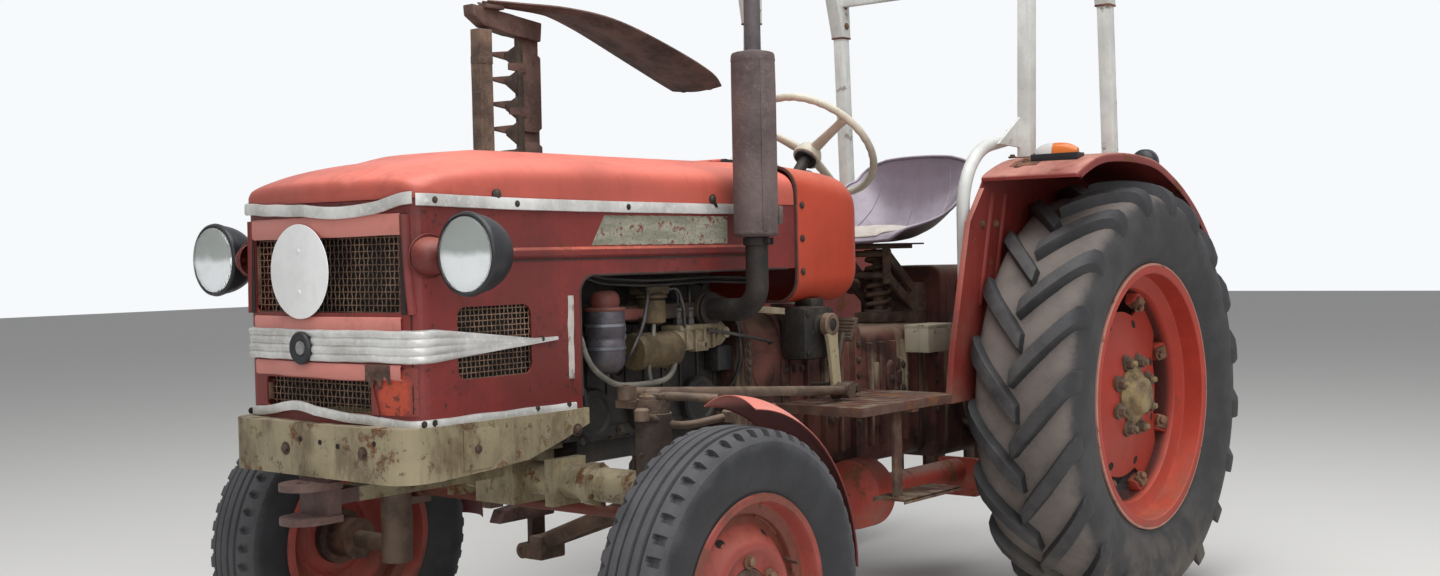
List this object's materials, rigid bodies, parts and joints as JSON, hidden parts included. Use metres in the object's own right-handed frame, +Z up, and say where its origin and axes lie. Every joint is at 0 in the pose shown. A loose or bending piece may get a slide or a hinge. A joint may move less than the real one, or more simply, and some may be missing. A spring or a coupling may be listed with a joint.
{
  "type": "vintage farm tractor",
  "caption": "Compact farm tractor of the 1960s with an open engine bay, safety frame, rear lift links and a raised side cutter bar.",
  "frame": {"origin": "centre of the bounding box on the ground plane", "axes": "+Z up, front faces -Y, +X is the tractor's left side; the length runs along Y"},
  "size_m": [1.614, 3.2109, 2.12],
  "materials": {
    "engine_grey": "oily cast iron, dusty",
    "fitting_metal": "dull alloy and painted steel, stained",
    "casting_red": "faded dark red paint on castings, oily and dusty",
    "beam_cream": "worn cream paint, chipped and rusty",
    "body_red": "sun-faded red enamel, scratched",
    "mesh_steel": "rusty wire mesh",
    "trim_aluminium": "dull bright trim",
    "disc_white": "plain white enamel",
    "lamp_black": "black enamel",
    "lamp_glass": "clear ribbed lens",
    "exhaust_rust": "burnt, rusty steel",
    "column_black": "worn black paint",
    "wheel_ivory": "aged ivory plastic",
    "rod_steel": "rusty drawn steel",
    "forging_brown": "brown oxidised forging",
    "rim_red": "faded orange-red enamel",
    "tyre": "dusty worn tyre",
    "frame_white": "off-white enamel, chipped",
    "foot_paint": "worn dark red paint, rusty edges",
    "seat_shell": "dark worn seat covering over a steel shell",
    "seat_cloth": "worn off-white pad",
    "mower_red": "red paint, scratched",
    "mower_steel": "rusty steel"
  },
  "bodies": {
    "chassis": {"engine": "engine_grey", "engine_fittings": "fitting_metal", "transmission": "casting_red", "rear_axle": "casting_red", "front_beam": "beam_cream", "front_axle": "beam_cream", "bonnet_sides": "body_red", "grille_mesh": "mesh_steel", "bright_trim": "trim_aluminium", "number_disc": "disc_white", "lamp_bodies": "lamp_black", "headlamp_glass": "lamp_glass", "dash_cowl": "body_red", "exhaust": "exhaust_rust", "steering_column": "column_black", "rear_fenders": "body_red", "safety_frame": "frame_white", "footplates": "foot_paint", "seat_pan": "seat_shell", "seat_pad": "seat_cloth", "seat_mount": "column_black", "drawbar": "forging_brown", "mower_carrier": "mower_red"},
    "knuckle_left": {"knuckle_left": "forging_brown", "front_fender_left": "body_red"},
    "knuckle_right": {"knuckle_right": "forging_brown", "front_fender_right": "body_red"},
    "front_wheel_left": {"front_rim_left": "rim_red", "front_tyre_left": "tyre"},
    "front_wheel_right": {"front_rim_right": "rim_red", "front_tyre_right": "tyre"},
    "rear_wheel_left": {"rear_rim_left": "rim_red", "rear_tyre_left": "tyre"},
    "rear_wheel_right": {"rear_rim_right": "rim_red", "rear_tyre_right": "tyre"},
    "tie_rod": {"tie_rod": "rod_steel"},
    "drag_link": {"drag_link": "rod_steel"},
    "pitman_arm": {"pitman_arm": "beam_cream"},
    "steering_wheel": {"steering_wheel": "wheel_ivory"},
    "bonnet_lid": {"bonnet_lid": "body_red"},
    "cutter_bar": {"cutter_bar": "mower_steel", "swath_board": "mower_steel"},
    "lift_arms": {"lift_arms": "forging_brown"},
    "lower_links": {"lower_links": "forging_brown"},
    "lift_rods": {"lift_rods": "rod_steel"}
  },
  "joints": [
    {"name": "steer_left", "type": "hinge", "parent": "chassis", "child": "knuckle_left", "pos_m": [0.43, -0.9765, 0.62], "axis": [0, 0, 1], "range_deg": [-30, 30]},
    {"name": "steer_right", "type": "hinge", "parent": "chassis", "child": "knuckle_right", "pos_m": [-0.43, -0.9765, 0.62], "axis": [0, 0, 1], "range_deg": [-30, 30]},
    {"name": "front_left_spin", "type": "hinge", "parent": "knuckle_left", "child": "front_wheel_left", "pos_m": [0.64, -0.9765, 0.355], "axis": [1, 0, 0], "continuous": true},
    {"name": "front_right_spin", "type": "hinge", "parent": "knuckle_right", "child": "front_wheel_right", "pos_m": [-0.64, -0.9765, 0.355], "axis": [1, 0, 0], "continuous": true},
    {"name": "rear_left_spin", "type": "hinge", "parent": "chassis", "child": "rear_wheel_left", "pos_m": [0.65, 0.8035, 0.625], "axis": [1, 0, 0], "continuous": true},
    {"name": "rear_right_spin", "type": "hinge", "parent": "chassis", "child": "rear_wheel_right", "pos_m": [-0.65, 0.8035, 0.625], "axis": [1, 0, 0], "continuous": true},
    {"name": "tie_rod_pivot", "type": "hinge", "parent": "knuckle_left", "child": "tie_rod", "pos_m": [0.43, -0.9015, 0.485], "axis": [0, 0, 1], "range_deg": [-31, 31]},
    {"name": "drag_link_pivot", "type": "hinge", "parent": "knuckle_left", "child": "drag_link", "pos_m": [0.355, -0.9765, 0.765], "axis": [0, 0, 1], "range_deg": [-31, 31]},
    {"name": "pitman_pivot", "type": "hinge", "parent": "chassis", "child": "pitman_arm", "pos_m": [0.325, -0.1685, 0.872], "axis": [1, 0, 0], "range_deg": [-14, 14]},
    {"name": "steering_wheel_turn", "type": "hinge", "parent": "chassis", "child": "steering_wheel", "pos_m": [0, 0.1845, 1.324], "axis": [0, 0.7071, 0.7071], "range_deg": [-455, 455]},
    {"name": "bonnet_hinge", "type": "hinge", "parent": "chassis", "child": "bonnet_lid", "pos_m": [0, -0.2565, 1.303], "axis": [-1, 0, 0], "range_deg": [0, 50]},
    {"name": "cutter_bar_hinge", "type": "hinge", "parent": "chassis", "child": "cutter_bar", "pos_m": [-0.745, -0.2085, 0.19], "axis": [0, -1, 0], "range_deg": [0, 90]},
    {"name": "lift_shaft", "type": "hinge", "parent": "chassis", "child": "lift_arms", "pos_m": [0, 0.8735, 0.96], "axis": [1, 0, 0], "range_deg": [-18, 22]},
    {"name": "lower_link_pins", "type": "hinge", "parent": "chassis", "child": "lower_links", "pos_m": [0, 0.8735, 0.44], "axis": [1, 0, 0], "range_deg": [-18, 22]},
    {"name": "lift_rod_pins", "type": "hinge", "parent": "lift_arms", "child": "lift_rods", "pos_m": [0, 1.2335, 0.96], "axis": [1, 0, 0], "range_deg": [-22, 22]}
  ],
  "couplings": [
    {"joint": "steer_right", "follows": "steer_left", "ratio": 1},
    {"joint": "tie_rod_pivot", "follows": "steer_left", "ratio": -1},
    {"joint": "drag_link_pivot", "follows": "steer_left", "ratio": -1},
    {"joint": "pitman_pivot", "follows": "steer_left", "ratio": -0.4376},
    {"joint": "steering_wheel_turn", "follows": "steer_left", "ratio": 15},
    {"joint": "lower_link_pins", "follows": "lift_shaft", "ratio": 1},
    {"joint": "lift_rod_pins", "follows": "lift_shaft", "ratio": -1}
  ]
}
